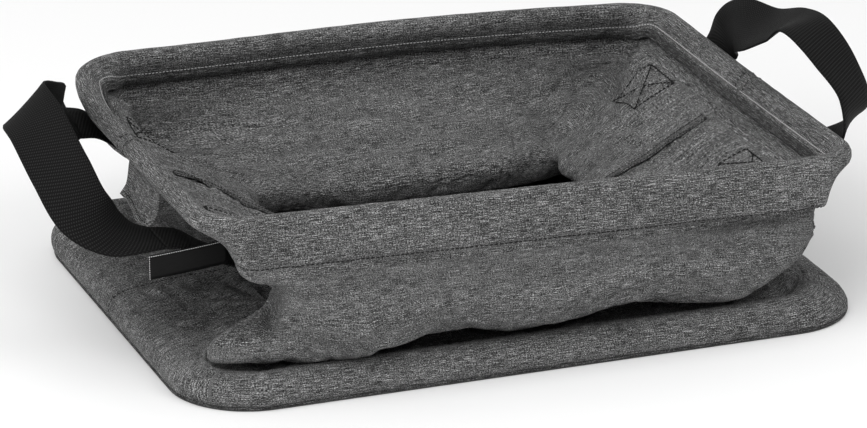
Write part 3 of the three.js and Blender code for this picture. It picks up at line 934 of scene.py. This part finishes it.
def hanging_flap():
    rows, columns = 22, 60
    profile = through(FLAP_HANG, [7] * 3)
    grid = np.zeros((rows, columns, 3))
    for j, t in enumerate(np.linspace(0, 1, columns)):
        y = -FLAP_WIDTH + (FLAP_WIDTH - 0.3) * t
        reach = 1 - 0.22 * (1 - smoothstep((t + 0.02) / 0.12)) - 0.12 * smoothstep((t - 0.2) / 0.8)
        for i in range(rows):
            share = i / (rows - 1) * reach * (len(profile) - 1)
            inset, drop = [np.interp(share, range(len(profile)), profile[:, k]) for k in range(2)]
            dents = 0.5 * noise.noise(Vector((y / 9, i / 5, 5.1)))
            wave = 0.9 * share / rows * math.sin(t * 7.0) + dents
            xy = np.array([[-RIM_LENGTH / 2, y]])
            grid[i, j] = rim_point(xy, inset - wave * (i > 2), drop, 0.0)[0]
    flap = sheet_object("hem_flap_left", grid, CLOTH, 0.0)
    with_material(flap, CANVAS, "rim")
    normals = grid_normals(grid)
    outward = (normals * np.sign(-normals[..., :1]))[rows - 3, 2:columns - 2]
    edge = grid[rows - 3, 2:columns - 2] + outward * CLOTH / 2
    stitches("flap_stitches", [(edge, outward)], THREAD_DARK, "rim")


hanging_flap()

# Seams up the middle of both ends: a raised tape inside, and a row of stitches outside
SEAM_TAPE_OFFSET, SEAM_TAPE_WIDTH, SEAM_TAPE_OVERLAP = 1.1, 6.5, 2.0
SEAM_TOP_ROW = row_of(NECK_LEVEL) - 1


def end_seam(column):
    """Edge lines and normals of a tape inside the front cloth along one of its ends."""
    left, right, normals = [], [], []
    for row in np.linspace(row_of(TAPE_LEVEL), SEAM_TOP_ROW, 34):
        near, normal = front.at(row, column)
        far, _ = front.at(row, 1 if column == 0 else column - 1)
        along = unit(far - near)
        inside = -normal
        base = near + inside * (CLOTH + SEAM_TAPE_OFFSET)
        left.append(base - along * SEAM_TAPE_OVERLAP)
        right.append(base + along * SEAM_TAPE_WIDTH)
        normals.append(inside)
    return [through(line, [3] * (len(line) - 1)) for line in (left, right, normals)]


def end_seams():
    for name, column in (("left", 0), ("right", LAST_COLUMN)):
        left, right, normals = end_seam(column)
        tape = band_object(f"{name}_seam_tape", left, right, normals, TAPE_THICKNESS)
        with_material(tape, LINING, None,
                      [f"{name}_seam_tape_lower", f"{name}_seam_tape_upper"])
        raised = [np.array(line) + np.array(normals) * 0.6 for line in (left, right)]
        inner = [raised[0] * (1 - t) + raised[1] * t for t in (0.12, 0.86)]
        stitches(f"{name}_seam_inner_stitches", [(line, normals) for line in inner], THREAD_DARK,
                 pitch=2.6, length=2.0, radius=0.45)
        beside = 0.35 if column == 0 else LAST_COLUMN - 0.35
        outer = column_line(front, beside, row_of(OUTER_SEAM_LEVEL), SEAM_TOP_ROW, 140)
        stitches(f"{name}_seam_outer_stitches", [outer], THREAD_DARK)


end_seams()


# Handles
LEFT_HANDLE = [
    ((-233, -86, 91), (0, 1, 0)),
    ((-246, -86, 93), (0.07, 0.98, 0.17)),
    ((-261, -85, 97), (0.4, 0.8, 0.45)),
    ((-279, -80, 111), (0.84, 0.24, 0.49)),
    ((-290, -61, 136), (0.87, -0.15, 0.47)),
    ((-296, -30, 158), (0.84, -0.13, 0.52)),
    ((-295, 4, 161), (0.71, -0.07, 0.7)),
    ((-274, 34, 147), (0.6, 0.1, 0.79)),
    ((-256, 62, 132), (0.42, 0.35, 0.84)),
    ((-245, 84, 118), (0.12, 0.74, 0.66)),
    ((-236, 93, 112), (0, 0.97, 0.24)),
]
RIGHT_HANDLE = [
    ((236, 93, 100), (0, 1, 0)),
    ((245, 92, 110), (0, 0.95, 0.25)),
    ((247, 84, 122), (-0.05, 0.75, 0.65)),
    ((243, 56, 138), (0.32, 0.42, 0.85)),
    ((242, 17, 147), (0.74, 0.26, 0.61)),
    ((243, -22, 162), (0.87, 0.19, 0.45)),
    ((243, -54, 171), (0.99, 0.14, 0.05)),
    ((252, -84, 153), (0.93, 0.36, -0.07)),
    ((258, -103, 129), (0.8, 0.55, -0.26)),
    ((252, -102, 113), (0.45, 0.88, -0.1)),
    ((240, -93, 100), (0, 1, 0)),
]


# Routes of the sewn ends up to the neck, as distance from the middle, height and tilt, for a
# neck below or above this height
RAISED_NECK = 105
STRAP_ROUTE = [(178, 68, 0), (198, 77, 0), (216, 88, 0)]
RAISED_ROUTE = [(178, 68, 0), (199, 86, 0.05), (213, 102, 0.15), (225, 110, 0.2)]


def webbing(name, stations, steps, replaces, cup=0.0):
    """A band of webbing through stations of centre and width direction."""
    centres = through([s[0] for s in stations], [steps] * (len(stations) - 1))
    widths = unit(through([s[1] for s in stations], [steps] * (len(stations) - 1)))
    along = unit(np.gradient(centres, axis=0))
    normals = unit(np.cross(along, widths))
    half = WEBBING_WIDTH / 2
    edge, thick = half - 0.9, WEBBING_THICKNESS / 2
    across = [-half, -edge, -half * 0.6, -half * 0.2, half * 0.2, half * 0.6, edge, half]
    ring = [(a, thick if abs(a) < half else 0) for a in across]
    ring += [(a, -thick) for a in reversed(across[1:-1])]
    points, weave = [], []
    travelled = travel(centres)
    for i, centre in enumerate(centres):
        for a, h in ring:
            bow = cup * (1 - (a / half) ** 2)
            points.append(centre + widths[i] * a + normals[i] * (h + bow))
            weave.append((travelled[i], a + half, 0))
    obj = make_mesh(name, points, capped_faces(len(centres), len(ring)))
    add_weave(obj, weave)
    obj.data.materials.append(WEBBING)
    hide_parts(*replaces)
    return obj


def strap_end(name, end, start, across):
    """The webbing's sewn end, under the end wall and out to the neck."""
    route = RAISED_ROUTE if start[2] > RAISED_NECK else STRAP_ROUTE
    stations = [((end * x, start[1], z), (0, 1, tilt)) for x, z, tilt in route] + [(start, across)]
    obj = webbing(name, stations, 8, [name])
    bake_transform(obj)


def handle(name, stations, end):
    loop = webbing(f"{name}_handle_loop", stations, 12, [f"{name}_handle"], cup=0.8)
    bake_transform(loop)
    for start, across in (stations[0], stations[-1]):
        place = "front" if start[1] < 0 else "back"
        strap_end(f"{name}_strap_end_{place}", end, start, across)


handle("left", LEFT_HANDLE, -1)
handle("right", RIGHT_HANDLE, 1)


# Box-and-cross stitches that hold the straps, seen on the inside of both ends, with the box's
# distances from the middle of the bag
BOX_X, BOX_Y = (172, 203), (72, 114)


def box_stitches():
    rows = (row_of(FOLD_LEVEL) + 4, row_of(NECK_LEVEL))
    for end, name in ((-1, "left"), (1, "right")):
        lines = []
        for wall in (front, back):
            y0, y1 = wall.side * BOX_Y[0], wall.side * BOX_Y[1]
            x0, x1 = end * BOX_X[0], end * BOX_X[1]
            a, b, c, d = (x0, y0), (x0, y1), (x1, y1), (x1, y0)
            routes = [(a, b), (b, c), (c, d), (d, a), (a, c), (b, d)]
            lines += [inside_line(wall, *route, rows) for route in routes]
        stitches(f"{name}_box_stitches", lines, THREAD_DARK, pitch=3.3, length=2.6, radius=0.6)


box_stitches()


# Plain woven label along the front edge of the left handle's front strap end
LABEL_LENGTH, LABEL_HEIGHT, LABEL_SLOPE = 54, 16.5, 0.085


def label():
    low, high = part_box("side_label")
    centre = (low + high) / 2 / MM
    rows, columns = 7, 24
    grid = np.zeros((rows, columns, 3))
    for i in range(rows):
        for j in range(columns):
            along, up = j / (columns - 1), i / (rows - 1)
            u = (along - 0.5) * LABEL_LENGTH
            v = (up - 0.5) * LABEL_HEIGHT
            bend = 0.8 * math.sin(along * math.pi) + 0.5 * (0.5 - up)
            grid[i, j] = (centre[0] + u, centre[1] - bend, centre[2] + v + LABEL_SLOPE * u)
    obj = sheet_object("woven_label", grid, 0.8, 0)
    with_material(obj, SATIN, None, ["side_label"])
    raised = grid - np.array([0, 0.5, 0])
    edges = raised[-1] - np.array([0, 0, 0.8]), raised[:, 0] + np.array([0.7, 0, 0])
    rows = [(edge, np.tile([0.0, -1.0, 0.0], (len(edge), 1))) for edge in edges]
    stitches("label_stitches", rows, THREAD_LIGHT, pitch=1.5, length=1.2, radius=0.3)


label()


# ---------------------------------------------------------------- floor, light and camera

FLOOR_HALF_SIZE, FLOOR_LEVEL = 6000, 0.93
WORLD_LEVEL = 0.70
AIM = (0, 0, 0.05)

# The camera in metres and degrees: its place, its tilt down and its turn to the right
CAMERA_PLACE, CAMERA_TILT, CAMERA_TURN, LENS = (-1.1143, -2.9295, 1.2109), 20.37, 20.68, 202.6


def stage_floor():
    corners = [(x * FLOOR_HALF_SIZE, y * FLOOR_HALF_SIZE, 0)
               for x, y in ((-1, -1), (1, -1), (1, 1), (-1, 1))]
    floor = make_mesh("floor", corners, [(0, 1, 2, 3)], smooth=False)
    floor.data.materials.append(Nodes("floor_white").finish((FLOOR_LEVEL,) * 3, 0.9))


def area_light(name, place, size, power):
    """A square soft light that faces the bag."""
    data = bpy.data.lights.new(name, "AREA")
    data.shape = "RECTANGLE"
    data.size = data.size_y = size
    data.energy = power
    light = bpy.data.objects.new(name, data)
    light.location = place
    light.rotation_euler = (Vector(AIM) - Vector(place)).to_track_quat("-Z", "Y").to_euler()
    scene.collection.objects.link(light)


def studio():
    world = bpy.data.worlds.new("studio")
    world.use_nodes = True
    background = world.node_tree.nodes["Background"]
    background.inputs["Color"].default_value = (1, 1, 1, 1)
    background.inputs["Strength"].default_value = WORLD_LEVEL
    scene.world = world
    area_light("key", (-1.8, -1.0, 1.9), 2.6, 50)
    area_light("fill", (1.0, -1.9, 2.2), 1.5, 18)
    scene.view_settings.view_transform = "Standard"


def camera():
    """Camera at the reference's viewing angle, level, with a long lens."""
    data = bpy.data.cameras.new("camera")
    data.lens = LENS
    data.sensor_width = 36
    data.clip_end = 50
    eye = bpy.data.objects.new("camera", data)
    eye.location = CAMERA_PLACE
    eye.rotation_euler = (math.radians(90 - CAMERA_TILT), 0, math.radians(-CAMERA_TURN))
    scene.collection.objects.link(eye)
    scene.camera = eye


stage_floor()
studio()
camera()
